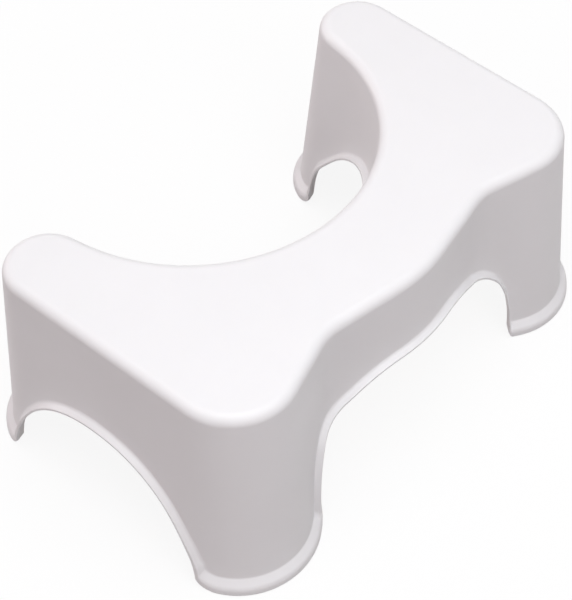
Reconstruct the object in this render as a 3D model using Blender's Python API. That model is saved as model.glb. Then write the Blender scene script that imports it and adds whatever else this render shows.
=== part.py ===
"""Squat stool that stands round the front of a toilet: one moulded shell on four grip strips.

Metres, +Z up. The toilet side is +Y, and a person's feet rest on the -X and +X ends of the deck.
The shell is a loft. Its columns run round a plan outline made of circles and their common
tangents, and its rings run over the deck edge, down the flared wall, round the turned-out lip
and up the inside. The lip follows one edge line that rests on the floor under four feet
and rises over four arches.
"""
import math
from collections import namedtuple

import bmesh
import bpy
from mathutils import Vector

# Whole stool
HEIGHT = 0.180             # floor to deck
WALL = 0.0027              # thickness of the skirt wall
DECK = 0.0034              # thickness of the deck
DECK_EDGE_RADIUS = 0.0082  # rounding between deck and wall

# Plan outline at deck level. Depths are measured forwards from the back of the lobes,
# half lengths sideways from the middle.
CORNER_HALF_LENGTH = 0.1960
CORNER_LEG_DEPTH = 0.0321  # from the end arch forwards to the corner
CORNER_RADIUS = 0.0386
LOBE_HALF_LENGTH = 0.2003
RECESS_DEPTH = 0.1507
RECESS_RADIUS = 0.1400
BULGE_SETBACK = 0.0009     # of the bulge behind the corners
BULGE_RADIUS = 0.1220
VALLEY_RADIUS = 0.0410

# Room kept between circles that curve opposite ways, so that a straight run fits between them
RECESS_EASE = 0.00045      # between the recess and each lobe
BULGE_EASE = 0.00466       # between the bulge and each valley
CORNER_EASE = 0.00312      # between each valley and its corner

# How far each stretch of wall leans out by the time it reaches the floor
CORNER_FLARE = 0.0167
LOBE_FLARE = 0.0157
RECESS_FLARE = 0.0166
BULGE_FLARE = 0.0054
VALLEY_FLARE = 0.0016

# Arches: spans are seen square on, heights are above the rim of the feet
FRONT_ARCH_HALF_SPAN = 0.1290
FRONT_ARCH_HEIGHT = 0.1080
FRONT_ARCH_FULLNESS = 2.13
RECESS_ARCH_HALF_SPAN = 0.1393
RECESS_ARCH_HEIGHT = 0.1220
RECESS_ARCH_FULLNESS = 3.84
END_ARCH_SPAN = 0.1770
END_ARCH_BACK_DEPTH = 0.0255
END_ARCH_HEIGHT = 0.0925
END_ARCH_FULLNESS = 2.13
FOOT_TIP_RADIUS = 0.0098

# The front of the deck stands clear of the end arches, so it moves with them
CORNER_DEPTH = END_ARCH_BACK_DEPTH + END_ARCH_SPAN + CORNER_LEG_DEPTH
BULGE_DEPTH = CORNER_DEPTH - BULGE_SETBACK

# Lip turned out along the arches, as thick as the wall
LIP_WIDTH = 0.0052
LIP_EDGE_HEIGHT = 0.0018
LIP_EDGE_WIDTH = 0.0018
LIP_SLOPE = math.radians(45)
LIP_COVE_RADIUS = 0.0050
LIP_ROUNDING = 0.0005
LIP_HEEL_RADIUS = 0.0004

# The same lip where it is the taller rim of a foot, with a flat sole under it
RIM_WIDTH = 0.0060
RIM_EDGE_HEIGHT = 0.0057
RIM_SLOPE = math.radians(52)
RIM_COVE_RADIUS = 0.0015
RIM_ROUNDING = 0.0075
RIM_BLEND = 0.0172

# Ribs under the deck
RIB_THICKNESS = 0.0020
RIB_DEPTH = 0.0120          # of the ribs that run from front to back
RIB_SEAT_SHARE = 0.50       # of the wall, let into it at each end
RIB_PITCH = 0.0540
RIB_COUNT_EACH_SIDE = 3
ROW_DEPTH = 0.0100          # of the ribs that run from side to side
ROW_SEAT_SHARE = 0.60
ROW_SHARES = (0.20, 0.42, 0.72, 0.87)  # of the depth at the corners
RIB_LEAST_LENGTH = 0.0120

# Grip strips let into the underside of the feet
GRIP_WIDTH = 0.0044
GRIP_PROUD = 0.0010
GROOVE_DEPTH = 0.0016
GRIP_CLEARANCE = 0.0003
GRIP_END_MARGIN = 0.0060
CUT_OVERRUN = 0.0020

# Facets
COLUMN_SPACING = 0.0180
COLUMN_TURN = math.radians(15)
COLUMN_LEAN = 0.0110
ARCH_STEPS = 90
TIP_STEPS = 6
EDGE_ARC_STEPS = 3
COVE_STEPS = 2
ROUNDING_STEPS = 3
RIB_ARC_STEPS = 2
BAND_STEPS = 14
BAND_END_STEPS = 5
CROSSING_STEPS = 400

SHELL_HEIGHT = HEIGHT - GRIP_PROUD

Circle = namedtuple("Circle", "x y radius side")
Stretch = namedtuple("Stretch", "circle start end heading turn length")
Foot = namedtuple("Foot", "start end")


def reach(outer, inner, outer_flare, inner_flare, ease):
    """Distance between the centres of a convex and a concave circle that stay clear all the way."""
    return outer + inner + max(0.0, outer_flare - inner_flare) + ease


def lobe_radius():
    """Radius that lets a lobe touch its back and end lines and stand clear of the recess."""
    ease = reach(0.0, 0.0, LOBE_FLARE, RECESS_FLARE, RECESS_EASE)
    span = LOBE_HALF_LENGTH + RECESS_DEPTH + ease
    rest = LOBE_HALF_LENGTH ** 2 + RECESS_DEPTH ** 2 - ease ** 2
    rest -= 2 * RECESS_RADIUS * (RECESS_DEPTH + ease)
    return span - math.sqrt(span ** 2 - rest)


def valley_centre(bulge, corner):
    """Centre of the concave circle in front of the gap between the bulge and a corner."""
    near = reach(BULGE_RADIUS, VALLEY_RADIUS, BULGE_FLARE, VALLEY_FLARE, BULGE_EASE)
    far = reach(CORNER_RADIUS, VALLEY_RADIUS, CORNER_FLARE, VALLEY_FLARE, CORNER_EASE)
    dx, dy = corner[0] - bulge[0], corner[1] - bulge[1]
    apart = math.hypot(dx, dy)
    along = (near ** 2 - far ** 2 + apart ** 2) / (2 * apart)
    aside = math.sqrt(near ** 2 - along ** 2)
    return (bulge[0] + (dx * along + dy * aside) / apart, bulge[1] + (dy * along - dx * aside) / apart)


def plan_circles(flare_share):
    """Circles that half the outline runs round; side is 1 outside a circle's back, -1 inside."""
    lobe_size = lobe_radius()
    bulge = (0.0, BULGE_RADIUS - BULGE_DEPTH)
    corner = (CORNER_HALF_LENGTH - CORNER_RADIUS, CORNER_RADIUS - CORNER_DEPTH)
    lobe = (LOBE_HALF_LENGTH - lobe_size, -lobe_size)
    recess = (0.0, RECESS_RADIUS - RECESS_DEPTH)
    return [
        Circle(*bulge, BULGE_RADIUS + BULGE_FLARE * flare_share, 1),
        Circle(*valley_centre(bulge, corner), VALLEY_RADIUS - VALLEY_FLARE * flare_share, -1),
        Circle(*corner, CORNER_RADIUS + CORNER_FLARE * flare_share, 1),
        Circle(*lobe, lobe_size + LOBE_FLARE * flare_share, 1),
        Circle(*recess, RECESS_RADIUS - RECESS_FLARE * flare_share, -1),
    ]


def outward(heading):
    """Unit normal on the right of a heading, which is away from the stool."""
    return Vector((math.sin(heading), -math.cos(heading)))


class Outline:
    """Half outline, x >= 0, from the middle of the front to the middle of the recess."""

    def __init__(self, flare_share):
        circles = plan_circles(flare_share)
        headings = [0.0]
        for here, there in zip(circles, circles[1:]):
            dx, dy = there.x - here.x, there.y - here.y
            swing = there.side * there.radius - here.side * here.radius
            headings.append(math.atan2(dy, dx) - math.asin(swing / math.hypot(dx, dy)))
        headings.append(math.pi)
        self.stretches = []
        for circle, first, last in zip(circles, headings, headings[1:]):
            turn = circle.side * ((circle.side * (last - first)) % math.tau)
            start, end = self.on_circle(circle, first), self.on_circle(circle, first + turn)
            if self.stretches:
                before = self.stretches[-1].end
                gap = (start - before).length
                self.stretches.append(Stretch(None, before, start, first, 0.0, gap))
            arc = abs(turn) * circle.radius
            self.stretches.append(Stretch(circle, start, end, first, turn, arc))
        self.starts = [0.0]
        for stretch in self.stretches:
            self.starts.append(self.starts[-1] + stretch.length)
        self.length = self.starts[-1]

    @staticmethod
    def on_circle(circle, heading):
        centre = Vector((circle.x, circle.y))
        return centre + outward(heading) * (circle.side * circle.radius)

    def locate(self, s):
        """Number of the stretch at distance s, and how far along it, as a share."""
        s = min(max(s, 0.0), self.length)
        index = len(self.stretches) - 1
        while index > 0 and s < self.starts[index]:
            index -= 1
        return index, (s - self.starts[index]) / self.stretches[index].length

    def place(self, index, share):
        """Point and outward normal on a stretch."""
        stretch = self.stretches[index]
        heading = stretch.heading + stretch.turn * share
        if stretch.circle:
            return self.on_circle(stretch.circle, heading), outward(heading)
        return stretch.start.lerp(stretch.end, share), outward(heading)

    def s_at_heading(self, index, heading):
        """Distance along the outline where an arc has a heading."""
        stretch = self.stretches[index]
        return self.starts[index] + stretch.length * (heading - stretch.heading) / stretch.turn

    def s_where(self, axis, value, low, high):
        """Distance between low and high where x (0) or y (1) has a value."""
        rising = self.place(*self.locate(high))[0][axis] > self.place(*self.locate(low))[0][axis]
        for _ in range(40):
            middle = (low + high) / 2
            below = self.place(*self.locate(middle))[0][axis] < value
            if below == rising:
                low = middle
            else:
                high = middle
        return (low + high) / 2


DECK_LINE = Outline(0.0)
FLOOR_LINE = Outline(1.0)
CORNER_STRETCH = 4
LOBE_STRETCH = 6


def surface(s, z, out=0.0):
    """Point on the outer wall at distance s along the outline and height z, moved outwards."""
    index, share = DECK_LINE.locate(s)
    top, top_normal = DECK_LINE.place(index, share)
    foot, foot_normal = FLOOR_LINE.place(index, share)
    drop = (SHELL_HEIGHT - z) / SHELL_HEIGHT
    normal = top_normal.lerp(foot_normal, drop).normalized()
    flat = top.lerp(foot, drop) + normal * out
    return Vector((flat.x, flat.y, z))


def superellipse(fullness, steps):
    """Quarter arch as (across, up) shares, from the crown down to the springing."""
    points = []
    for step in range(steps + 1):
        angle = math.pi / 2 * step / steps
        across = math.sin(angle) ** (2 / fullness)
        up = max(math.cos(angle), 0.0) ** (2 / fullness)
        points.append((across, up))
    return points


def tip_arc(s_edge, direction):
    """Rounded corner of a foot, from the arch side down to the floor, towards direction."""
    points = []
    for step in range(TIP_STEPS + 1):
        angle = math.pi / 2 * step / TIP_STEPS
        s = s_edge + direction * FOOT_TIP_RADIUS * (1 - math.cos(angle))
        points.append((s, FOOT_TIP_RADIUS * (1 - math.sin(angle))))
    return points


def arch_side(axis, middle, half_span, height, fullness, low, high):
    """Half an arch in wall coordinates, from the crown down to the top of a foot tip."""
    points = []
    for across, up in superellipse(fullness, ARCH_STEPS):
        if up * height > FOOT_TIP_RADIUS:
            s = DECK_LINE.s_where(axis, middle + half_span * across, low, high)
            points.append((s, up * height))
    return points


def edge_line():
    """The edge of the shell in wall coordinates (s, z), and the feet it rests on."""
    corner_low = DECK_LINE.s_at_heading(CORNER_STRETCH, 0.0)
    corner_high = DECK_LINE.starts[CORNER_STRETCH + 1]
    lobe_low = DECK_LINE.starts[LOBE_STRETCH]
    lobe_high = DECK_LINE.s_at_heading(LOBE_STRETCH, math.pi)
    end = DECK_LINE.length
    front = arch_side(0, 0.0, FRONT_ARCH_HALF_SPAN, FRONT_ARCH_HEIGHT,
                      FRONT_ARCH_FULLNESS, 0.0, corner_high)
    front += tip_arc(DECK_LINE.s_where(0, FRONT_ARCH_HALF_SPAN, 0.0, corner_high), 1)
    half = END_ARCH_SPAN / 2
    middle = -END_ARCH_BACK_DEPTH - half
    ahead = arch_side(1, middle, -half, END_ARCH_HEIGHT, END_ARCH_FULLNESS,
                      corner_low, lobe_high)
    ahead += tip_arc(DECK_LINE.s_where(1, middle - half, corner_low, lobe_high), -1)
    behind = arch_side(1, middle, half, END_ARCH_HEIGHT, END_ARCH_FULLNESS,
                       corner_low, lobe_high)
    behind += tip_arc(DECK_LINE.s_where(1, middle + half, corner_low, lobe_high), 1)
    recess = arch_side(0, 0.0, RECESS_ARCH_HALF_SPAN, RECESS_ARCH_HEIGHT,
                       RECESS_ARCH_FULLNESS, lobe_low, end)
    recess += tip_arc(DECK_LINE.s_where(0, RECESS_ARCH_HALF_SPAN, lobe_low, end), -1)
    feet = [Foot(front[-1][0], ahead[-1][0]), Foot(behind[-1][0], recess[-1][0])]
    line = front + floor_run(feet[0]) + ahead[::-1] + behind[1:] + floor_run(feet[1])
    return line + recess[::-1], feet


def floor_run(foot):
    """Points along the floor between the tips of a foot."""
    return [(foot.start + (foot.end - foot.start) * step / ARCH_STEPS, 0.0)
            for step in range(1, ARCH_STEPS)]


def pick_columns(line):
    """Thin the edge line out to columns that are close where it bends."""
    points = [surface(s, z, LIP_WIDTH) for s, z in line]
    picked, run = [0], 0.0
    for index in range(1, len(points) - 1):
        before = points[index] - points[index - 1]
        after = points[index + 1] - points[index]
        run += before.length / COLUMN_SPACING + before.angle(after, 0.0) / COLUMN_TURN
        if run >= 1.0:
            picked.append(index)
            run = 0.0
    if run < 1 / 2:
        picked.pop()
    return picked + [len(points) - 1]


def smooth_share(value):
    """Ease a share in and out."""
    value = min(max(value, 0.0), 1.0)
    return value * value * (3 - 2 * value)


def foot_shares(travel, floors):
    """How much rim, and how much flat sole, a column has at a distance along the edge line.

    The rim goes on round the tips of a foot and fades up the sides of the arches.
    The sole fades round the tips, where the underside becomes that of the lip.
    """
    beyond = min(max(start - travel, travel - end, 0.0) for start, end in floors)
    tip = FOOT_TIP_RADIUS * math.pi / 2
    return smooth_share(1 - (beyond - tip) / RIM_BLEND), smooth_share(1 - beyond / tip)


def lean_at(travel, knots):
    """Sideways lean of a column's top, straight between knots of (travel, lean)."""
    for (low, lean_low), (high, lean_high) in zip(knots, knots[1:]):
        if travel <= high:
            return lean_low + (lean_high - lean_low) * (travel - low) / (high - low)
    return knots[-1][1]


def arc_points(radius, steps):
    """Quarter circle as (along, across) from (0, 0), tangent to the first axis."""
    points = []
    for step in range(steps + 1):
        angle = math.pi / 2 * step / steps
        points.append((radius * math.sin(angle), radius * (1 - math.cos(angle))))
    return points


def lip_top(width, edge_height, slope, cove, rounding):
    """Upper side of a lip as (rise from the edge, way out), from the wall round to its heel."""
    turn = math.pi / 2 - slope
    tangent = math.tan(turn / 2)
    top = edge_height + width * math.tan(slope) + cove * tangent
    section = []
    for step in range(COVE_STEPS + 1):
        angle = turn * step / COVE_STEPS
        section.append((top - cove * math.sin(angle), cove * (1 - math.cos(angle))))
    for step in range(ROUNDING_STEPS + 1):
        angle = turn * (1 - step / ROUNDING_STEPS)
        section.append((edge_height + rounding * (math.sin(angle) - tangent),
                        width + rounding * (math.cos(angle) - 1)))
    return section + [(LIP_HEEL_RADIUS, width), (0.0, width - LIP_HEEL_RADIUS)]


LIP_TOP = lip_top(LIP_WIDTH, LIP_EDGE_HEIGHT, LIP_SLOPE, LIP_COVE_RADIUS, LIP_ROUNDING)
RIM_TOP = lip_top(RIM_WIDTH, RIM_EDGE_HEIGHT, RIM_SLOPE, RIM_COVE_RADIUS, RIM_ROUNDING)
LIP_INNER = LIP_WIDTH - LIP_EDGE_WIDTH
LIP_UNDERSIDE = [(0.0, LIP_INNER), ((LIP_INNER + WALL) * math.tan(LIP_SLOPE), -WALL)]
RIM_UNDERSIDE = [(0.0, LIP_HEEL_RADIUS - WALL), (LIP_HEEL_RADIUS, -WALL)]


def blend_section(lip, rim, share):
    """Mix two sections as (rise square to the edge line, rise straight up, way out)."""
    return [(lip_rise, (rim_rise - lip_rise) * share, lip_out + (rim_out - lip_out) * share)
            for (lip_rise, lip_out), (rim_rise, rim_out) in zip(lip, rim)]


def shell_rings():
    """Rings of the half shell, deck side first: each a list of points, one per column."""
    line, feet = edge_line()
    travels = [0.0]
    for here, there in zip(line, line[1:]):
        travels.append(travels[-1] + math.dist(here, there))
    floors = []
    for foot in feet:
        first = line.index((foot.start, 0.0))
        last = len(line) - 1 - line[::-1].index((foot.end, 0.0))
        floors.append((travels[first], travels[last]))
    knots = [(0.0, 0.0)]
    for start, end in floors:
        knots += [(start, COLUMN_LEAN), ((start + end) / 2, 0.0), (end, -COLUMN_LEAN)]
    knots.insert(4, ((floors[0][1] + floors[1][0]) / 2, 0.0))
    knots.append((travels[-1], 0.0))

    columns = []
    for index in pick_columns(line):
        s, z = line[index]
        before, after = line[max(index - 1, 0)], line[min(index + 1, len(line) - 1)]
        ds, dz = after[0] - before[0], after[1] - before[1]
        if index in (0, len(line) - 1):
            dz = 0.0
        size = math.hypot(ds, dz)
        inward = (-dz / size, ds / size)
        rim_share, sole_share = foot_shares(travels[index], floors)
        section = blend_section(LIP_TOP, RIM_TOP, rim_share)
        section += blend_section(LIP_UNDERSIDE, RIM_UNDERSIDE, sole_share)
        top_s = s + lean_at(travels[index], knots)
        columns.append(column_points(s, z, inward, top_s, section))
    return [list(ring) for ring in zip(*columns)], feet


def column_points(s, z, inward, top_s, section):
    """Section of the shell down one column, from the deck, round the lip, to the inside."""
    points = []
    shoulder = SHELL_HEIGHT - DECK_EDGE_RADIUS
    for along, drop in arc_points(DECK_EDGE_RADIUS, EDGE_ARC_STEPS):
        inset = surface(top_s, shoulder, along - DECK_EDGE_RADIUS)
        points.append(Vector((inset.x, inset.y, SHELL_HEIGHT - drop)))
    lip = [(s + inward[0] * rise, z + inward[1] * rise + lift, out) for rise, lift, out in section]
    points.append(surface((top_s + lip[0][0]) / 2, (shoulder + lip[0][1]) / 2))
    points += [surface(*place) for place in lip]
    points.append(surface((top_s + lip[-1][0]) / 2, (shoulder + lip[-1][1]) / 2, -WALL))
    ceiling = SHELL_HEIGHT - DECK
    for along, drop in arc_points(DECK_EDGE_RADIUS - WALL, EDGE_ARC_STEPS)[::-1]:
        inset = surface(top_s, shoulder, along - DECK_EDGE_RADIUS)
        points.append(Vector((inset.x, inset.y, ceiling - drop)))
    return points


def mesh_object(name, points, faces):
    """Object from points and faces, with its normals out and its four-sided faces split."""
    mesh = bpy.data.meshes.new(name)
    mesh.from_pydata([tuple(point) for point in points], [], faces)
    work = bmesh.new()
    work.from_mesh(mesh)
    bmesh.ops.recalc_face_normals(work, faces=work.faces)
    warped = [face for face in work.faces if len(face.verts) == 4]
    bmesh.ops.triangulate(work, faces=warped)
    work.to_mesh(mesh)
    work.free()
    thing = bpy.data.objects.new(name, mesh)
    bpy.context.collection.objects.link(thing)
    return thing


def joined(name, bodies):
    """One object from several closed bodies that stand apart."""
    points, faces = [], []
    for body_points, body_faces in bodies:
        first = len(points)
        points += body_points
        faces += [tuple(first + corner for corner in face) for face in body_faces]
    return mesh_object(name, points, faces)


def full_ring(half):
    """Close a half ring with its mirror image across x = 0."""
    mirrored = [Vector((-point.x, point.y, point.z)) for point in half[-2:0:-1]]
    return half + mirrored


def build_shell():
    """Deck, skirt and lip as one closed moulding."""
    rings, feet = shell_rings()
    rings = [full_ring(ring) for ring in rings]
    points = [point for ring in rings for point in ring]
    return mesh_object("stool_shell", points, tube_faces(len(rings), len(rings[0]))), feet


def wall_crossings(axis, value, z, out):
    """Where the outline at height z, moved outwards, crosses constant x (0) or y (1)."""
    half = []
    for step in range(CROSSING_STEPS + 1):
        half.append(surface(DECK_LINE.length * step / CROSSING_STEPS, z, out))
    loop = full_ring(half)
    other = 1 - axis
    crossings = []
    for here, there in zip(loop, loop[1:] + loop[:1]):
        if (here[axis] < value) != (there[axis] < value):
            share = (value - here[axis]) / (there[axis] - here[axis])
            crossings.append(here[other] + (there[other] - here[other]) * share)
    return sorted(crossings)


def rib_levels(depth, seat):
    """Heights of a rib's corners and where its ends stand in the wall, as (z, wall z, out)."""
    shoulder = SHELL_HEIGHT - DECK_EDGE_RADIUS
    bottom = SHELL_HEIGHT - DECK - depth
    levels = [(bottom, bottom, seat - WALL)]
    radius = DECK_EDGE_RADIUS - WALL + seat
    for along, drop in arc_points(radius, RIB_ARC_STEPS)[::-1]:
        levels.append((shoulder + radius - drop, shoulder, along - DECK_EDGE_RADIUS))
    return levels


def rib_bodies(axis, places, levels):
    """Upright bars under the deck along parallel lines, each from wall to wall and up to the deck."""
    bodies = []
    for place in places:
        sides = (place - RIB_THICKNESS / 2, place + RIB_THICKNESS / 2)
        spans = [[wall_crossings(axis, side, wall_z, out) for side in sides]
                 for _, wall_z, out in levels]
        pairs = min(len(span) for level in spans for span in level) // 2
        for pair in range(pairs):
            corners = []
            for (z, _, _), level in zip(levels, spans):
                for side, end in ((0, 0), (1, 0), (1, 1), (0, 1)):
                    reach = level[side][2 * pair + end]
                    flat = (sides[side], reach) if axis == 0 else (reach, sides[side])
                    corners.append(Vector((flat[0], flat[1], z)))
            if (corners[3] - corners[0]).length > RIB_LEAST_LENGTH:
                bodies.append((corners, tube_faces(len(levels), 4)))
    return bodies


def build_ribs():
    """Ribs from front to back, and rows of shallower ribs from side to side."""
    steps = range(-RIB_COUNT_EACH_SIDE, RIB_COUNT_EACH_SIDE + 1)
    ribs = rib_bodies(0, [RIB_PITCH * step for step in steps],
                      rib_levels(RIB_DEPTH, WALL * RIB_SEAT_SHARE))
    rows = rib_bodies(1, [-CORNER_DEPTH * share for share in ROW_SHARES],
                      rib_levels(ROW_DEPTH, WALL * ROW_SEAT_SHARE))
    return joined("ribs_front_to_back", ribs), joined("ribs_side_to_side", rows)


def tube_faces(rings, count):
    """Faces of a closed tube of rings with count points each, and its two end faces."""
    faces = [tuple(range(count)), tuple(range((rings - 1) * count, rings * count))]
    for ring in range(rings - 1):
        for column in range(count):
            after = (column + 1) % count
            low, high = ring * count, (ring + 1) * count
            faces.append((low + column, high + column, high + after, low + after))
    return faces


def foot_band(foot, margin, half_width, bottom, top, mirrored):
    """Curved bar that follows a foot's rim, with round ends."""
    centre = (RIM_WIDTH - WALL) / 2
    start, end = foot.start + margin, foot.end - margin
    side = -1 if mirrored else 1
    rails = {1: [], -1: []}
    for rail in rails:
        for step in range(BAND_STEPS + 1):
            s = start + (end - start) * step / BAND_STEPS
            rails[rail].append(surface(s, 0.0, centre + rail * half_width))
    loop = rails[1] + round_end(rails[1][-1], rails[-1][-1], rails[1][-2])
    loop += rails[-1][::-1] + round_end(rails[-1][0], rails[1][0], rails[-1][1])
    points = [Vector((side * p.x, p.y, bottom)) for p in loop]
    points += [Vector((side * p.x, p.y, top)) for p in loop]
    walls = tube_faces(2, len(loop))[2:]
    return points, walls + band_caps(0, len(loop)) + band_caps(len(loop), len(loop))


def band_caps(first, count):
    """Faces that close one side of a curved bar: rungs between its rails, and its two round ends."""
    turn = BAND_STEPS + BAND_END_STEPS
    far = turn + BAND_STEPS
    caps = [(step, step + 1, far - step - 1, far - step) for step in range(BAND_STEPS)]
    caps += [tuple(range(BAND_STEPS, turn + 1)), (*range(far, count), 0)]
    return [tuple(first + corner for corner in cap) for cap in caps]


def round_end(first, last, before):
    """Points of a half circle from first to last, bulging away from the bar."""
    middle = (first + last) / 2
    radius = (first - last).length / 2
    spoke = (first - middle).normalized()
    ahead = (first - before)
    ahead = (ahead - spoke * ahead.dot(spoke)).normalized()
    points = []
    for step in range(1, BAND_END_STEPS):
        angle = math.pi * step / BAND_END_STEPS
        points.append(middle + spoke * (radius * math.cos(angle)) + ahead * (radius * math.sin(angle)))
    return points


def add_boolean(thing, other, operation):
    """Join or cut with another object, which is kept as a guide."""
    other.hide_render = True
    other.display_type = "WIRE"
    other.parent = thing
    step = thing.modifiers.new(other.name, "BOOLEAN")
    step.operation = operation
    step.solver = "EXACT"
    step.object = other


def plastic(name, colour, roughness):
    """Plain plastic or rubber material."""
    material = bpy.data.materials.new(name)
    material.use_nodes = True
    shader = material.node_tree.nodes["Principled BSDF"]
    shader.inputs["Base Color"].default_value = (*colour, 1.0)
    shader.inputs["Roughness"].default_value = roughness
    shader.inputs["Metallic"].default_value = 0.0
    return material


def clear_scene():
    for thing in list(bpy.data.objects):
        bpy.data.objects.remove(thing, do_unlink=True)


def main():
    clear_scene()
    shell, feet = build_shell()
    for ribs in build_ribs():
        add_boolean(shell, ribs, "UNION")

    half_groove = GRIP_WIDTH / 2 + GRIP_CLEARANCE
    grip_top = GROOVE_DEPTH - GRIP_CLEARANCE
    grooves, grips = [], []
    for foot, place in zip(feet, ("front", "back")):
        for mirrored, hand in ((True, "left"), (False, "right")):
            grooves.append(foot_band(foot, GRIP_END_MARGIN - GRIP_CLEARANCE, half_groove,
                                     -CUT_OVERRUN, GROOVE_DEPTH, mirrored))
            grip = foot_band(foot, GRIP_END_MARGIN, GRIP_WIDTH / 2, -GRIP_PROUD, grip_top, mirrored)
            grips.append(mesh_object(f"foot_grip_{place}_{hand}", *grip))
    add_boolean(shell, joined("grip_grooves", grooves), "DIFFERENCE")

    ys = [surface(DECK_LINE.length * step / CROSSING_STEPS, 0.0, RIM_WIDTH).y
          for step in range(CROSSING_STEPS + 1)]
    middle = (min(ys) + max(ys)) / 2
    for thing in [shell] + grips:
        thing.location = (0.0, -middle, GRIP_PROUD)

    shell.data.materials.append(plastic("white_polypropylene", (0.83, 0.82, 0.83), 0.28))
    for grip in grips:
        grip.data.materials.append(plastic(grip.name, (0.55, 0.55, 0.56), 0.70))


main()
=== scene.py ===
# %% [markdown]
# # A moulded toilet stool
#
# The real thing is one piece of white polypropylene, injection moulded: a flat deck, a skirt that
# flares down to four feet, and a lip rolled outwards along every edge. It stands on soft grip strips.
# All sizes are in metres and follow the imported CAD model. This script draws the shell again with
# finer steps, so that its gloss runs smoothly round the curves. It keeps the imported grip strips, and
# adds the plastics, a pale floor, soft light and the camera.

import math
from collections import namedtuple

import bmesh
import bpy
from mathutils import Euler, Matrix, Vector


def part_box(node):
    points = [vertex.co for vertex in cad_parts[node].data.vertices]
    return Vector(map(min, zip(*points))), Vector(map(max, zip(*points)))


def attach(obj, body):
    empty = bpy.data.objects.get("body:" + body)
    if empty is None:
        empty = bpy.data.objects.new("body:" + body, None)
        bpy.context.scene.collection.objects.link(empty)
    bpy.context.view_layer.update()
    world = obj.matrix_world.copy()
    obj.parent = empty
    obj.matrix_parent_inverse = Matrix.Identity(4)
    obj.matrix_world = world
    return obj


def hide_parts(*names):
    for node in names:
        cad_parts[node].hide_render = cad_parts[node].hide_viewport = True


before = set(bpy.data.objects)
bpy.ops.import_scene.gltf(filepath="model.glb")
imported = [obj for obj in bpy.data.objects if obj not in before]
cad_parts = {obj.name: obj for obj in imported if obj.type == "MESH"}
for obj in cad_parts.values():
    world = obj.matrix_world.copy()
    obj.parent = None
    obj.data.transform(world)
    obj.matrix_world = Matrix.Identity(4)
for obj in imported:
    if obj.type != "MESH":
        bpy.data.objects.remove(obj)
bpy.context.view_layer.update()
shell_low, shell_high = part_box("stool_shell")
print("nodes:", sorted(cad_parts))
print("shell from", tuple(shell_low), "to", tuple(shell_high))

# %% [markdown]
# ## The plan outline
#
# Seen from above, half the outline runs round five circles: the bulge at the front, the valley,
# the front corner, the back lobe and the recess. Between them it follows the circles' common
# tangents, as a belt would run round pulleys. A hand-drawn curve could do the same, but arcs and
# tangents are what a mould maker would draw, and they need only three numbers each.
# There are two such outlines, one at the deck and one at the floor, and the wall is ruled between
# them. A third is the deck's with its front eased inwards by up to 3 mm, because the real deck bends
# down there more softly than the CAD's. The arches are laid out on the plain one, so that the feet
# stay where the CAD has them.

# %% Sizes of the outline
SHELL_HEIGHT = shell_high.z - shell_low.z
DECK_EDGE_RADIUS = 0.0082
WALL = 0.0027
DECK = 0.0034

BULGE_RADIUS, BULGE_DEPTH, BULGE_FLARE = 0.1220, 0.2337, 0.0054
VALLEY_CENTRE, VALLEY_RADIUS, VALLEY_FLARE = (0.0843, -0.2610), 0.0410, 0.0016
CORNER_HALF_LENGTH = 0.1960
CORNER_RADIUS, CORNER_DEPTH, CORNER_FLARE = 0.0386, 0.2346, 0.0167
LOBE_HALF_LENGTH = 0.2003
LOBE_RADIUS, LOBE_FLARE = 0.0305, 0.0157
RECESS_RADIUS, RECESS_DEPTH, RECESS_FLARE = 0.1400, 0.1507, 0.0166

# A circle's side is 1 where the stool is inside it, and -1 where it bites into the stool
Circle = namedtuple("Circle", "x y radius side")


def plan_circles(share):
    """Circles that half the outline runs round, at the deck (share 0) or the floor (share 1)."""
    corner_x = CORNER_HALF_LENGTH - CORNER_RADIUS
    lobe_x = LOBE_HALF_LENGTH - LOBE_RADIUS
    return [
        Circle(0.0, BULGE_RADIUS - BULGE_DEPTH, BULGE_RADIUS + BULGE_FLARE * share, 1),
        Circle(*VALLEY_CENTRE, VALLEY_RADIUS - VALLEY_FLARE * share, -1),
        Circle(corner_x, CORNER_RADIUS - CORNER_DEPTH, CORNER_RADIUS + CORNER_FLARE * share, 1),
        Circle(lobe_x, -LOBE_RADIUS, LOBE_RADIUS + LOBE_FLARE * share, 1),
        Circle(0.0, RECESS_RADIUS - RECESS_DEPTH, RECESS_RADIUS - RECESS_FLARE * share, -1),
    ]


print("circles at the floor:", *plan_circles(1.0), sep="\n  ")

# %% The eased front of the deck
EASED_BULGE_RADIUS, EASED_BULGE_DEPTH = 0.1213, 0.2321
EASED_VALLEY_CENTRE, EASED_VALLEY_RADIUS = (0.08475, -0.26156), 0.0424
EASED_CORNER_RADIUS, EASED_CORNER_DEPTH = 0.0471, 0.2343


def eased_circles():
    """The deck's circles again, with the front eased inwards and its corners rounder."""
    corner_x = CORNER_HALF_LENGTH - EASED_CORNER_RADIUS
    front = [
        Circle(0.0, EASED_BULGE_RADIUS - EASED_BULGE_DEPTH, EASED_BULGE_RADIUS, 1),
        Circle(*EASED_VALLEY_CENTRE, EASED_VALLEY_RADIUS, -1),
        Circle(corner_x, EASED_CORNER_RADIUS - EASED_CORNER_DEPTH, EASED_CORNER_RADIUS, 1),
    ]
    return front + plan_circles(0.0)[len(front):]


print("circles at the deck:", *eased_circles(), sep="\n  ")


# %% A belt round the circles
Stretch = namedtuple("Stretch", "circle start end heading turn length")


def outward(heading):
    """Unit normal on the right of a heading, which is away from the stool."""
    return Vector((math.sin(heading), -math.cos(heading)))


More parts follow.
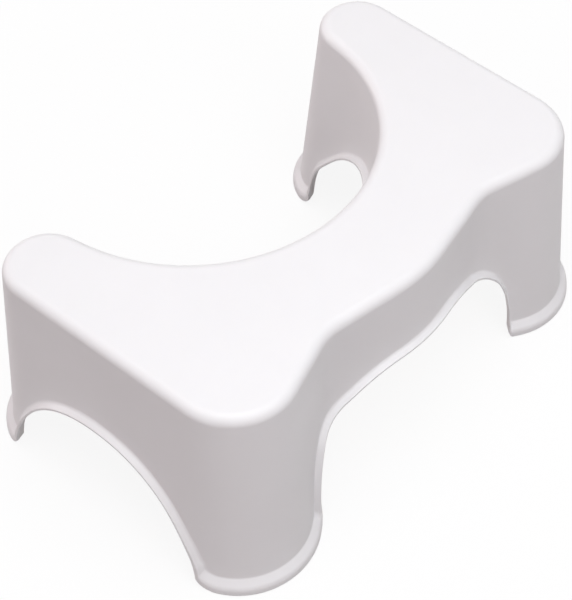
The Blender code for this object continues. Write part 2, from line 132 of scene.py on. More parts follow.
class Outline:
    """Half outline, x >= 0, from the middle of the front to the middle of the recess."""

    def __init__(self, circles):
        headings = [0.0]
        for here, there in zip(circles, circles[1:]):
            dx, dy = there.x - here.x, there.y - here.y
            swing = there.side * there.radius - here.side * here.radius
            headings.append(math.atan2(dy, dx) - math.asin(swing / math.hypot(dx, dy)))
        headings.append(math.pi)
        self.stretches = []
        for circle, first, last in zip(circles, headings, headings[1:]):
            turn = circle.side * ((circle.side * (last - first)) % math.tau)
            start, end = self.on_circle(circle, first), self.on_circle(circle, first + turn)
            if self.stretches:
                before = self.stretches[-1].end
                gap = (start - before).length
                self.stretches.append(Stretch(None, before, start, first, 0.0, gap))
            arc = abs(turn) * circle.radius
            self.stretches.append(Stretch(circle, start, end, first, turn, arc))
        self.starts = [0.0]
        for stretch in self.stretches:
            self.starts.append(self.starts[-1] + stretch.length)
        self.length = self.starts[-1]

    @staticmethod
    def on_circle(circle, heading):
        centre = Vector((circle.x, circle.y))
        return centre + outward(heading) * (circle.side * circle.radius)

    def locate(self, s):
        """Number of the stretch at distance s, and how far along it, as a share."""
        s = min(max(s, 0.0), self.length)
        index = len(self.stretches) - 1
        while index > 0 and s < self.starts[index]:
            index -= 1
        return index, (s - self.starts[index]) / self.stretches[index].length

    def place(self, index, share):
        """Point and outward normal on a stretch."""
        stretch = self.stretches[index]
        heading = stretch.heading + stretch.turn * share
        if stretch.circle:
            return self.on_circle(stretch.circle, heading), outward(heading)
        return stretch.start.lerp(stretch.end, share), outward(heading)


DECK_LINE = Outline(plan_circles(0.0))
TOP_LINE = Outline(eased_circles())
FLOOR_LINE = Outline(plan_circles(1.0))
print("half outline at the deck:", round(DECK_LINE.length * 1000, 1), "mm")


# %% Find places along the deck's plain outline
# Arcs and straight runs take turns, so the third circle is stretch 4 and the fourth is stretch 6
CORNER_STRETCH, LOBE_STRETCH = 4, 6
HALVINGS = 40


def s_at_heading(index, heading):
    """Distance along the outline where an arc has a heading."""
    stretch = DECK_LINE.stretches[index]
    return DECK_LINE.starts[index] + stretch.length * (heading - stretch.heading) / stretch.turn


def s_where(axis, value, low, high):
    """Distance between low and high where x (0) or y (1) has a value."""
    first, last = (DECK_LINE.place(*DECK_LINE.locate(s))[0] for s in (low, high))
    rising = last[axis] > first[axis]
    for _ in range(HALVINGS):
        middle = (low + high) / 2
        below = DECK_LINE.place(*DECK_LINE.locate(middle))[0][axis] < value
        if below == rising:
            low = middle
        else:
            high = middle
    return (low + high) / 2


# An arch is looked for only between these places, because an x or a y comes up more than once
FRONT_START, FRONT_END = 0.0, DECK_LINE.starts[CORNER_STRETCH + 1]
SIDE_START = s_at_heading(CORNER_STRETCH, 0.0)
SIDE_END = s_at_heading(LOBE_STRETCH, math.pi)
RECESS_START, RECESS_END = DECK_LINE.starts[LOBE_STRETCH], DECK_LINE.length
print("side of the stool from s =", round(SIDE_START * 1000, 1), "to", round(SIDE_END * 1000, 1), "mm")

# %% [markdown]
# ## The wall as a surface
#
# Every point of the shell is named by three numbers: how far along the outline it is, how high, and
# how far it stands out from the wall. One function turns these into a place in the room, so arches,
# lip and ribs can all be drawn on the flat and still follow the flared, curving wall. A distance
# along the deck's plain outline is first carried over to the same place on the other two, averaged
# over a short way, because a jump in pace would show as a kink in an arch.


# %% A point on the wall
EASING = 0.0100
EASING_STEPS = 4


def matching_s(outline, s):
    """Distance along another outline that goes with distance s along the deck's layout."""
    end = DECK_LINE.length
    if s < 0.0:
        return -matching_s(outline, -s)
    if s > end:
        return 2 * outline.length - matching_s(outline, 2 * end - s)
    index, share = DECK_LINE.locate(s)
    return outline.starts[index] + outline.stretches[index].length * share


def eased_s(outline, s):
    """The same, averaged over a short way, so that the arches have no kinks."""
    steps = range(-EASING_STEPS, EASING_STEPS + 1)
    return sum(matching_s(outline, s + EASING * step / EASING_STEPS) for step in steps) / len(steps)


def surface(s, z, out=0.0):
    """Point at distance s along the outline and height z above the rims, moved outwards."""
    top, top_normal = TOP_LINE.place(*TOP_LINE.locate(eased_s(TOP_LINE, s)))
    foot, foot_normal = FLOOR_LINE.place(*FLOOR_LINE.locate(eased_s(FLOOR_LINE, s)))
    drop = (SHELL_HEIGHT - z) / SHELL_HEIGHT
    normal = top_normal.lerp(foot_normal, drop).normalized()
    flat = top.lerp(foot, drop) + normal * out
    return Vector((flat.x, flat.y, z))


print("front of the deck:", tuple(surface(0.0, SHELL_HEIGHT)))

# %% [markdown]
# ## The edge line
#
# The lower edge of the shell is one line. It rests on the floor under four feet and climbs over four
# arches. Each arch is a superellipse, which is fuller in the shoulders than an ellipse: a power of 2
# is a plain ellipse and higher powers are squarer, as in the recess arch.

# %% Sizes of the arches
FRONT_ARCH = dict(half_span=0.1290, height=0.1080, fullness=2.13)
RECESS_ARCH = dict(half_span=0.1393, height=0.1220, fullness=3.84)
END_ARCH = dict(half_span=0.1770 / 2, height=0.0925, fullness=2.13)
END_ARCH_BACK_DEPTH = 0.0255
END_ARCH_MIDDLE = -END_ARCH_BACK_DEPTH - END_ARCH["half_span"]
FOOT_TIP_RADIUS = 0.0098
ARCH_STEPS = 500
TIP_STEPS = 16


# %% One side of an arch
def arch_side(axis, middle, half_span, height, fullness, low, high):
    """Half an arch as (s, z), from the crown down to the top of a foot's rounded tip."""
    points = []
    for step in range(ARCH_STEPS + 1):
        angle = math.pi / 2 * step / ARCH_STEPS
        across = math.sin(angle) ** (2 / fullness)
        z = height * max(math.cos(angle), 0.0) ** (2 / fullness)
        if z > FOOT_TIP_RADIUS:
            points.append((s_where(axis, middle + half_span * across, low, high), z))
    return points


def tip_arc(s_top, s_foot):
    """Rounded corner of a foot, from the arch side down to the floor."""
    points = []
    for step in range(TIP_STEPS + 1):
        angle = math.pi / 2 * step / TIP_STEPS
        points.append((s_top + (s_foot - s_top) * (1 - math.cos(angle)),
                       FOOT_TIP_RADIUS * (1 - math.sin(angle))))
    return points


def arch_leg(axis, middle, arch, low, high, onward):
    """Side of an arch and the tip below it; onward is 1 if s grows from crown to foot, else -1."""
    points = arch_side(axis, middle, low=low, high=high, **arch)
    foot = s_where(axis, middle + arch["half_span"], low, high) + onward * FOOT_TIP_RADIUS
    return points + tip_arc(points[-1][0], foot)


front_leg = arch_leg(0, 0.0, FRONT_ARCH, FRONT_START, FRONT_END, 1)
print("the front arch meets the floor at s =", round(front_leg[-1][0] * 1000, 1), "mm")


# %% Join the arches into one edge line
Foot = namedtuple("Foot", "start end")


def floor_run(foot):
    """Points along the floor between the tips of a foot."""
    return [(foot.start + (foot.end - foot.start) * step / ARCH_STEPS, 0.0)
            for step in range(1, ARCH_STEPS)]


def edge_line():
    """The edge of half the shell as (s, z), and the feet it rests on."""
    forward_arch = dict(END_ARCH, half_span=-END_ARCH["half_span"])
    ahead = arch_leg(1, END_ARCH_MIDDLE, forward_arch, SIDE_START, SIDE_END, -1)
    behind = arch_leg(1, END_ARCH_MIDDLE, END_ARCH, SIDE_START, SIDE_END, 1)
    recess = arch_leg(0, 0.0, RECESS_ARCH, RECESS_START, RECESS_END, -1)
    feet = [Foot(front_leg[-1][0], ahead[-1][0]), Foot(behind[-1][0], recess[-1][0])]
    line = front_leg + floor_run(feet[0]) + ahead[::-1] + behind[1:] + floor_run(feet[1])
    return line + recess[::-1], feet


line, feet = edge_line()
print("edge line:", len(line), "points; feet at", feet)

# %% [markdown]
# ## The rolled lip
#
# The edge of the real shell is turned outwards, which stiffens it. Along the arches this lip is thin,
# hardly thicker than the wall, and slopes a little. Round each foot it becomes a taller rim with a
# steeper top and a rounder edge. A curve with a bevel could give one such section, but not a blend.
# Both are drawn as a section, a list of (rise, way out), and each column of the loft mixes the two.

# %% Sections of the lip and of the rim
LIP = dict(width=0.0052, edge_height=0.0018, slope=math.radians(20), cove=0.0025, rounding=0.0005)
RIM = dict(width=0.0059, edge_height=0.0061, slope=math.radians(46), cove=0.0026, rounding=0.0065)
LIP_EDGE_WIDTH = 0.0018
HEEL_RADIUS = 0.0004
SECTION_STEPS = 7
HEEL_STEPS = 3
SOLE_SHARES = (0.0, 0.5, 0.9, 1.0)


def arc_points(radius, steps):
    """Quarter circle as (along, across) from (0, 0), tangent to the first axis."""
    angles = [math.pi / 2 * step / steps for step in range(steps + 1)]
    return [(radius * math.sin(angle), radius * (1 - math.cos(angle))) for angle in angles]


def lip_section(width, edge_height, slope, cove, rounding):
    """Upper side of a lip as (rise from the edge, way out), from the wall round to its heel."""
    turn = math.pi / 2 - slope
    tangent = math.tan(turn / 2)
    top = edge_height + width * math.tan(slope) + cove * tangent
    section = []
    for step in range(SECTION_STEPS + 1):
        angle = turn * step / SECTION_STEPS
        section.append((top - cove * math.sin(angle), cove * (1 - math.cos(angle))))
    for step in range(SECTION_STEPS + 1):
        angle = turn * (1 - step / SECTION_STEPS)
        section.append((edge_height - rounding * tangent + rounding * math.sin(angle),
                        width - rounding + rounding * math.cos(angle)))
    for along, across in arc_points(HEEL_RADIUS, HEEL_STEPS)[::-1]:
        section.append((across, width - HEEL_RADIUS + along))
    return section


LIP_SECTION = lip_section(**LIP)
RIM_SECTION = lip_section(**RIM)
SOLE_START = len(LIP_SECTION)
edge_out = LIP["width"] - LIP_EDGE_WIDTH
underside = edge_out + WALL
for share in SOLE_SHARES:
    LIP_SECTION.append((underside * math.tan(LIP["slope"]) * share, edge_out - underside * share))
RIM_SECTION += [(0.0, RIM["width"] / 2), (0.0, 0.0), (0.0, HEEL_RADIUS - WALL), (HEEL_RADIUS, -WALL)]
print("points in a lip section:", len(LIP_SECTION))

# %% [markdown]
# ## The loft
#
# The shell is a grid. Columns run down the wall from the deck, round the lip and up the inside, and
# rings join them. Columns stand square to the edge line, and lean a little so that they stay evenly
# spread on the deck. The first and last rings are closed by flat faces: the deck and its underside.

# %% Choose the columns
COLUMN_SPACING = 0.0045
COLUMN_TURN = math.radians(6)


def pick_columns(line):
    """Thin the edge line out to columns that are close where it bends."""
    points = [surface(s, z, LIP["width"]) for s, z in line]
    picked, run = [0], 0.0
    for index in range(1, len(points) - 1):
        before = points[index] - points[index - 1]
        after = points[index + 1] - points[index]
        run += before.length / COLUMN_SPACING + before.angle(after, 0.0) / COLUMN_TURN
        if run >= 1.0:
            picked.append(index)
            run = 0.0
    if run < 1 / 2:
        picked.pop()
    return picked + [len(points) - 1]


picked = pick_columns(line)
print("columns in half the shell:", len(picked))


# %% How much rim each column has
RIM_BLEND = 0.0172


def smooth_share(value):
    """Ease a share in and out."""
    value = min(max(value, 0.0), 1.0)
    return value * value * (3 - 2 * value)


def rim_share(travel, floors):
    """1 on the floor and round the tips of a foot, easing to 0 up the sides of the arches."""
    beyond = min(max(start - travel, travel - end, 0.0) for start, end in floors)
    return smooth_share(1 - (beyond - FOOT_TIP_RADIUS * math.pi / 2) / RIM_BLEND)


def sole_share(travel, floors):
    """1 under a foot, easing to 0 round its tips, where the underside turns thin."""
    beyond = min(max(start - travel, travel - end, 0.0) for start, end in floors)
    return smooth_share(1 - beyond / (FOOT_TIP_RADIUS * math.pi / 2))


travels = [0.0]
for here, there in zip(line, line[1:]):
    travels.append(travels[-1] + math.dist(here, there))
floors = []
for foot in feet:
    first = line.index((foot.start, 0.0))
    last = len(line) - 1 - line[::-1].index((foot.end, 0.0))
    floors.append((travels[first], travels[last]))
print("edge length of half the shell:", round(travels[-1] * 1000), "mm")


# %% How much each column leans
COLUMN_LEAN = 0.0110


def lean_at(travel, knots):
    """Sideways lean of a column's top, straight between knots of (travel, lean)."""
    for (low, lean_low), (high, lean_high) in zip(knots, knots[1:]):
        if travel <= high:
            return lean_low + (lean_high - lean_low) * (travel - low) / (high - low)
    return knots[-1][1]


knots = [(0.0, 0.0)]
for number, (start, end) in enumerate(floors):
    if number:
        knots.append(((floors[number - 1][1] + start) / 2, 0.0))
    knots += [(start, COLUMN_LEAN), ((start + end) / 2, 0.0), (end, -COLUMN_LEAN)]
knots.append((travels[-1], 0.0))
print("lean changes at", [round(travel * 1000) for travel, _ in knots], "mm along the edge")


# %% The lip at one place on the edge
def lip_places(s, z, inward, rim, sole):
    """Section of the edge, mixed from the lip's and the rim's, as (s, z, out)."""
    places = []
    for number, (thin, tall) in enumerate(zip(LIP_SECTION, RIM_SECTION)):
        share = rim if number < SOLE_START else sole
        lift = (tall[0] - thin[0]) * share
        out = thin[1] + (tall[1] - thin[1]) * share
        places.append((s + inward[0] * thin[0], z + inward[1] * thin[0] + lift, out))
    return places


rim_top = lip_places(0.0, 0.0, (0.0, 1.0), rim=1.0, sole=1.0)[0]
print("the rim round a foot is", round(rim_top[1] * 1000, 1), "mm tall")

# %% One column of the shell
DECK_ARC_STEPS = 10
WALL_STEPS = 10


def column_points(lip, top_s):
    """Section of the shell down one column, from the deck, round the lip, to the inside."""
    points = []
    shoulder = SHELL_HEIGHT - DECK_EDGE_RADIUS
    for along, drop in arc_points(DECK_EDGE_RADIUS, DECK_ARC_STEPS):
        inset = surface(top_s, shoulder, along - DECK_EDGE_RADIUS)
        points.append(Vector((inset.x, inset.y, SHELL_HEIGHT - drop)))
    for step in range(1, WALL_STEPS):
        down = step / WALL_STEPS
        points.append(surface(top_s + (lip[0][0] - top_s) * down,
                              shoulder + (lip[0][1] - shoulder) * down))
    points += [surface(*place) for place in lip]
    for step in range(1, WALL_STEPS):
        up = step / WALL_STEPS
        points.append(surface(lip[-1][0] + (top_s - lip[-1][0]) * up,
                              lip[-1][1] + (shoulder - lip[-1][1]) * up, -WALL))
    ceiling = SHELL_HEIGHT - DECK
    for along, drop in arc_points(DECK_EDGE_RADIUS - WALL, DECK_ARC_STEPS // 2)[::-1]:
        inset = surface(top_s, shoulder, along - DECK_EDGE_RADIUS)
        points.append(Vector((inset.x, inset.y, ceiling - drop)))
    return points


columns = []
for index in picked:
    s, z = line[index]
    before, after = line[max(index - 1, 0)], line[min(index + 1, len(line) - 1)]
    ds, dz = after[0] - before[0], after[1] - before[1]
    if index in (0, len(line) - 1):
        dz = 0.0
    size = math.hypot(ds, dz)
    lip = lip_places(s, z, (-dz / size, ds / size), rim_share(travels[index], floors),
                     sole_share(travels[index], floors))
    columns.append(column_points(lip, s + lean_at(travels[index], knots)))
print("points in a column:", len(columns[0]))

# %% [markdown]
# The half shell is mirrored to make whole rings. The middle of the footprint goes to x = y = 0, and
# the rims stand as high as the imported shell's lowest point, because the grip strips lift them.


# %% Rings, tubes and mesh objects
def full_ring(half):
    """Close a half ring with its mirror image across x = 0."""
    return half + [Vector((-point.x, point.y, point.z)) for point in half[-2:0:-1]]


def tube_faces(rings, count):
    """Faces of a closed tube of rings with count points each, and its two end faces."""
    faces = [tuple(range(count)), tuple(range((rings - 1) * count, rings * count))]
    for ring in range(rings - 1):
        for column in range(count):
            after = (column + 1) % count
            low, high = ring * count, (ring + 1) * count
            faces.append((low + column, high + column, high + after, low + after))
    return faces


def mesh_object(name, points, faces, materials=None):
    """Object from points and faces, with its normals facing out."""
    mesh = bpy.data.meshes.new(name)
    mesh.from_pydata([tuple(point) for point in points], [], faces)
    if materials:
        mesh.polygons.foreach_set("material_index", materials)
    work = bmesh.new()
    work.from_mesh(mesh)
    bmesh.ops.recalc_face_normals(work, faces=work.faces)
    work.to_mesh(mesh)
    work.free()
    thing = bpy.data.objects.new(name, mesh)
    bpy.context.scene.collection.objects.link(thing)
    return thing


deck_ring = full_ring([column[-1] for column in columns])
print("a ring from", len(columns), "columns has", len(deck_ring), "points")

# %% Join the columns into a shell
OUTER_RINGS = DECK_ARC_STEPS + WALL_STEPS + SOLE_START
OUTSIDE, INSIDE = 0, 1

rings = [full_ring(list(ring)) for ring in zip(*columns)]
count = len(rings[0])
ys = [point.y for ring in rings for point in ring]
to_cad = Vector((0.0, -(min(ys) + max(ys)) / 2, shell_low.z))
points = [point + to_cad for ring in rings for point in ring]
faces = tube_faces(len(rings), count)
finishes = [OUTSIDE, INSIDE]
for ring in range(len(rings) - 1):
    finishes += [OUTSIDE if ring < OUTER_RINGS else INSIDE] * count
shell = mesh_object("moulded_shell", points, faces, finishes)
print("shell:", len(rings), "rings of", count, "points; moved by", tuple(to_cad))

# %% [markdown]
# ## Ribs
#
# A flat plate of plastic would sag under a person's heels, so the deck has upright ribs under it.
# They run from wall to wall. Each is drawn as a bar whose ends sink half way into the wall, and a
# Boolean joins it to the shell. The two directions differ in depth, so no two faces coincide.

# %% Where the ribs end
RIB_THICKNESS = 0.0020
RIB_ARC_STEPS = 2
CROSSING_STEPS = 600


def wall_crossings(axis, value, z, out):
    """Where the outline at height z, moved outwards, crosses constant x (0) or y (1)."""
    half = [surface(DECK_LINE.length * step / CROSSING_STEPS, z, out)
            for step in range(CROSSING_STEPS + 1)]
    loop = full_ring(half)
    other = 1 - axis
    crossings = []
    for here, there in zip(loop, loop[1:] + loop[:1]):
        if (here[axis] < value) != (there[axis] < value):
            share = (value - here[axis]) / (there[axis] - here[axis])
            crossings.append(here[other] + (there[other] - here[other]) * share)
    return sorted(crossings)


def rib_levels(depth, seat):
    """Heights of a rib's corners and where its ends stand in the wall, as (z, wall z, out)."""
    shoulder = SHELL_HEIGHT - DECK_EDGE_RADIUS
    bottom = SHELL_HEIGHT - DECK - depth
    levels = [(bottom, bottom, seat - WALL)]
    radius = DECK_EDGE_RADIUS - WALL + seat
    for along, drop in arc_points(radius, RIB_ARC_STEPS)[::-1]:
        levels.append((shoulder + radius - drop, shoulder, along - DECK_EDGE_RADIUS))
    return levels


print("the wall crosses x = 0 at y =", wall_crossings(0, 0.0, SHELL_HEIGHT / 2, -WALL))


# %% Draw the ribs
RIB_DEPTH, RIB_SEAT = 0.0120, WALL * 0.5
ROW_DEPTH, ROW_SEAT = 0.0100, WALL * 0.6
RIB_PITCH, RIBS_EACH_SIDE = 0.0540, 3
ROW_SHARES = (0.20, 0.42, 0.72, 0.87)
RIB_LEAST_LENGTH = 0.0120


def rib_bars(axis, place, levels):
    """Bars along one line, one for each stretch of deck that the line crosses."""
    sides = (place - RIB_THICKNESS / 2, place + RIB_THICKNESS / 2)
    spans = [[wall_crossings(axis, side, wall_z, out) for side in sides]
             for _, wall_z, out in levels]
    bars = []
    for pair in range(min(len(span) for level in spans for span in level) // 2):
        corners = []
        for (z, _, _), level in zip(levels, spans):
            for side, end in ((0, 0), (1, 0), (1, 1), (0, 1)):
                reach = level[side][2 * pair + end]
                flat = (sides[side], reach) if axis == 0 else (reach, sides[side])
                corners.append(Vector((flat[0], flat[1], z)) + to_cad)
        if (corners[3] - corners[0]).length > RIB_LEAST_LENGTH:
            bars.append((corners, tube_faces(len(levels), 4)))
    return bars


bars = []
for step in range(-RIBS_EACH_SIDE, RIBS_EACH_SIDE + 1):
    bars += rib_bars(0, RIB_PITCH * step, rib_levels(RIB_DEPTH, RIB_SEAT))
for share in ROW_SHARES:
    bars += rib_bars(1, -CORNER_DEPTH * share, rib_levels(ROW_DEPTH, ROW_SEAT))
print("ribs:", len(bars))

# %% [markdown]
# ## Grooves for the grip strips
#
# A shallow groove in the underside of each foot holds its grip strip. It follows the foot's curve,
# a little wider than the strip on every side.

# %% A round end for a bar
BAND_END_STEPS = 12


def round_end(first, last, before):
    """Points of a half circle from first to last, bulging away from the bar."""
    middle = (first + last) / 2
    radius = (first - last).length / 2
    spoke = (first - middle).normalized()
    ahead = first - before
    ahead = (ahead - spoke * ahead.dot(spoke)).normalized()
    angles = [math.pi * step / BAND_END_STEPS for step in range(1, BAND_END_STEPS)]
    return [middle + spoke * (radius * math.cos(a)) + ahead * (radius * math.sin(a)) for a in angles]


tip = round_end(Vector((1.0, 0.0)), Vector((-1.0, 0.0)), Vector((1.0, -1.0)))
print("the middle of a round end is at", tuple(round(v, 3) for v in tip[len(tip) // 2]))

# %% Draw the grooves
GRIP_WIDTH, GRIP_CLEARANCE, GRIP_END_MARGIN = 0.0044, 0.0003, 0.0060
GROOVE_DEPTH = 0.0016
CUT_OVERRUN = 0.0020
BAND_STEPS = 40


def groove_bar(foot, side):
    """Curved bar with round ends under one foot; side is 1 or -1 for right or left."""
    start = foot.start + GRIP_END_MARGIN - GRIP_CLEARANCE
    end = foot.end - GRIP_END_MARGIN + GRIP_CLEARANCE
    half_width = GRIP_WIDTH / 2 + GRIP_CLEARANCE
    rails = {1: [], -1: []}
    for rail in rails:
        for step in range(BAND_STEPS + 1):
            s = start + (end - start) * step / BAND_STEPS
            rails[rail].append(surface(s, 0.0, (RIM["width"] - WALL) / 2 + rail * half_width))
    loop = rails[1] + round_end(rails[1][-1], rails[-1][-1], rails[1][-2])
    loop += rails[-1][::-1] + round_end(rails[-1][0], rails[1][0], rails[-1][1])
    corners = [Vector((side * p.x, p.y, z)) + to_cad
               for z in (-CUT_OVERRUN, GROOVE_DEPTH) for p in loop]
    return corners, tube_faces(2, len(loop))


grooves = [groove_bar(foot, side) for foot in feet for side in (1, -1)]
print("grooves:", len(grooves))

# %% [markdown]
# Many small Booleans are slow and fragile on a fine mesh. The Manifold solver is fast and exact as
# long as every piece is closed, which these are. The result is baked into the shell's mesh.


# %% Join the ribs and cut the grooves
def boolean_all(thing, bodies, operation):
    """Join or cut with each closed body in turn, and keep only the result."""
    for number, (corners, body_faces) in enumerate(bodies):
        tool = mesh_object(f"tool_{number}", corners, body_faces, [INSIDE] * len(body_faces))
        tool.data.materials.append(None)
        tool.data.materials.append(None)
        step = thing.modifiers.new("boolean", "BOOLEAN")
        step.operation, step.solver, step.object = operation, "MANIFOLD", tool
        result = bpy.data.meshes.new_from_object(
            thing.evaluated_get(bpy.context.evaluated_depsgraph_get()))
        thing.modifiers.clear()
        thing.data = result
        bpy.data.objects.remove(tool, do_unlink=True)


shell.data.materials.append(None)
shell.data.materials.append(None)
boolean_all(shell, bars, "UNION")
boolean_all(shell, grooves, "DIFFERENCE")
print("shell after the ribs and grooves:", len(shell.data.polygons), "faces")

# %% [markdown]
# Smooth shading hides the facets. Edges that are really sharp, such as the corners of the ribs and
# grooves, are marked so, and weighted normals keep the big flat deck from being tinted by its edge.

# %% Shade the shell
SHARP_ANGLE = math.radians(35)
work = bmesh.new()
work.from_mesh(shell.data)
sharp = 0
for face in work.faces:
    face.smooth = True
for edge in work.edges:
    if len(edge.link_faces) == 2 and edge.calc_face_angle(0.0) > SHARP_ANGLE:
        edge.smooth = False
        sharp += 1
work.to_mesh(shell.data)
work.free()
weighted = shell.modifiers.new("weighted_normals", "WEIGHTED_NORMAL")
weighted.keep_sharp = True
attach(shell, "root")
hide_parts("stool_shell")
print("sharp edges:", sharp)

# %% [markdown]
# ## Colours and nodes
#
# Colours are written as sRGB hex values, as a paint chart gives them, and one function turns them
# into the linear values that shaders use. One small function adds a node with its settings and links.


# %% Two helpers
# A colour mix has its two colours on sockets 6 and 7, and its result on output 2
MIX_FIRST, MIX_SECOND, MIX_RESULT = 6, 7, 2


def linear(hex_colour, alpha=1.0):
    """Turn an sRGB hex colour into linear RGBA."""
    channels = [int(hex_colour[i:i + 2], 16) / 255 for i in (1, 3, 5)]
    return tuple(c / 12.92 if c <= 0.04045 else ((c + 0.055) / 1.055) ** 2.4
                 for c in channels) + (alpha,)


def add_node(tree, kind, inputs=None, **settings):
    """Add a node, set its options, and set or link its inputs."""
    node = tree.nodes.new(kind)
    for name, value in settings.items():
        setattr(node, name, value)
    for key, value in (inputs or {}).items():
        if isinstance(value, bpy.types.NodeSocket):
            tree.links.new(value, node.inputs[key])
        else:
            node.inputs[key].default_value = value
    return node


print("the plastic's white in linear values:", linear("#F3F3F4"))

# %% [markdown]
# ## White polypropylene
#
# Polypropylene is a waxy, slightly see-through plastic. Moulded against a polished steel tool, it
# has a soft gloss: reflections are there but blurred. Three things keep it from looking like paint:
# light soaks in a little before it comes back, the surface has a slow ripple left by shrinkage, and
# fine rub marks and traces of cleaning change the gloss from place to place. The rub marks are
# narrower in life than they can be drawn here, so they are drawn about half a millimetre wide.

# %% The outside of the shell
POLYPROPYLENE_IOR = 1.49
CLOUD_SIZE = 0.060
RUB_LENGTH, RUB_SLIMNESS = 0.0045, 9.0
RUB_TURN = Euler((0.3, 0.2, 0.9))
SOAK_DEPTH, SOAK_SHARE = 0.003, 0.12
SOAK_COLOUR = (1.0, 0.95, 0.9)


def polypropylene(name, colour, shade, roughness, rough_spread, ripple_size, ripple_height):
    """White moulded plastic with ripple, rub marks and uneven gloss."""
    material = bpy.data.materials.new(name)
    material.use_nodes = True
    tree = material.node_tree
    tree.nodes.clear()
    place = add_node(tree, "ShaderNodeTexCoord").outputs["Object"]
    clouds = add_node(tree, "ShaderNodeTexNoise",
                      {"Vector": place, "Scale": 1 / CLOUD_SIZE, "Detail": 3.0, "Roughness": 0.5})
    tint = add_node(tree, "ShaderNodeMix",
                    {"Factor": clouds.outputs["Fac"], MIX_FIRST: linear(colour),
                     MIX_SECOND: linear(shade)}, data_type="RGBA")
    stretched = add_node(tree, "ShaderNodeMapping",
                         {"Vector": place, "Rotation": RUB_TURN,
                          "Scale": (1.0, RUB_SLIMNESS, RUB_SLIMNESS)})
    rubs = add_node(tree, "ShaderNodeTexNoise",
                    {"Vector": stretched.outputs["Vector"], "Scale": 1 / RUB_LENGTH,
                     "Detail": 4.0, "Roughness": 0.6})
    gloss = add_node(tree, "ShaderNodeMath", {0: clouds.outputs["Fac"], 1: rubs.outputs["Fac"]},
                     operation="MULTIPLY")
    gloss = add_node(tree, "ShaderNodeMapRange",
                     {"Value": gloss.outputs[0], "From Min": 0.15, "From Max": 0.40,
                      "To Min": roughness - rough_spread, "To Max": roughness + rough_spread})
    ripple = add_node(tree, "ShaderNodeTexNoise",
                      {"Vector": place, "Scale": 1 / ripple_size, "Detail": 2.0})
    bump = add_node(tree, "ShaderNodeBump",
                    {"Height": ripple.outputs["Fac"], "Distance": ripple_height, "Strength": 1.0})
    shader = add_node(tree, "ShaderNodeBsdfPrincipled",
                      {"Base Color": tint.outputs[MIX_RESULT], "Roughness": gloss.outputs[0],
                       "Normal": bump.outputs["Normal"], "IOR": POLYPROPYLENE_IOR,
                       "Subsurface Weight": SOAK_SHARE, "Subsurface Radius": SOAK_COLOUR,
                       "Subsurface Scale": SOAK_DEPTH})
    add_node(tree, "ShaderNodeOutputMaterial", {"Surface": shader.outputs[0]})
    return material


polished = polypropylene("white_polypropylene_polished", "#F3F3F4", "#EFEFF0",
                         roughness=0.44, rough_spread=0.04,
                         ripple_size=0.022, ripple_height=0.00006)
shell.data.materials[OUTSIDE] = polished
print("outside:", polished.name)

# %% [markdown]
# The inside of the shell is never seen in use, so its half of the mould is only sandblasted, which
# gives the same plastic a fine matt grain. In life the grain is below a tenth of a millimetre. It is
# drawn about a third of a millimetre across, or it wouldn't show.

# %% The inside of the shell
sandblasted = polypropylene("white_polypropylene_sandblasted", "#EEECEC", "#E9E7E7",
                            roughness=0.50, rough_spread=0.06,
                            ripple_size=0.0007, ripple_height=0.00004)
shell.data.materials[INSIDE] = sandblasted
print("inside:", sandblasted.name)

# %% [markdown]
# ## Soft grips
#
# The strips are thermoplastic rubber: light grey, matt, and a little dusty, with the fine grain of a
# spark-eroded mould. The grain is drawn about a quarter of a millimetre across, a little coarser than
# in life. Dust shows as a paler tint in soft patches about a centimetre wide.

# %% Thermoplastic rubber for the grip strips
DUST_SIZE = 0.012
GRAIN_SIZE, GRAIN_HEIGHT = 0.0005, 0.00006

rubber = bpy.data.materials.new("grey_thermoplastic_rubber")
rubber.use_nodes = True
tree = rubber.node_tree
tree.nodes.clear()
place = add_node(tree, "ShaderNodeTexCoord").outputs["Object"]
dust = add_node(tree, "ShaderNodeTexNoise",
                {"Vector": place, "Scale": 1 / DUST_SIZE, "Detail": 5.0})
tint = add_node(tree, "ShaderNodeMix",
                {"Factor": dust.outputs["Fac"], MIX_FIRST: linear("#B4B4B6"),
                 MIX_SECOND: linear("#C6C5C4")}, data_type="RGBA")
grain = add_node(tree, "ShaderNodeTexNoise",
                 {"Vector": place, "Scale": 1 / GRAIN_SIZE, "Detail": 2.0})
bump = add_node(tree, "ShaderNodeBump",
                {"Height": grain.outputs["Fac"], "Distance": GRAIN_HEIGHT})
shader = add_node(tree, "ShaderNodeBsdfPrincipled",
                  {"Base Color": tint.outputs[MIX_RESULT], "Roughness": 0.72, "IOR": 1.50,
                   "Normal": bump.outputs["Normal"]})
add_node(tree, "ShaderNodeOutputMaterial", {"Surface": shader.outputs[0]})
for name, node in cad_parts.items():
    if name.startswith("foot_grip"):
        node.data.materials.clear()
        node.data.materials.append(rubber)
print("grip strips:", [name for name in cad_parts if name.startswith("foot_grip")])

# %% [markdown]
# ## Floor and surroundings
#
# The stool stands on a white sweep. To the camera, and in reflections, the floor glows a plain
# white and is darkened only by the stool's soft shadow, which fades to bare white further away. To
# all other light it is a middling grey, so that it doesn't throw too much light up at the walls.
# The world is made in the same way: white to look at, and a faint room as light. The room is
# brighter on the left than on the right, which keeps the walls that face right a little darker.

# %% Rays that look straight at a thing
WHITE = (1.0, 1.0, 1.0, 1.0)


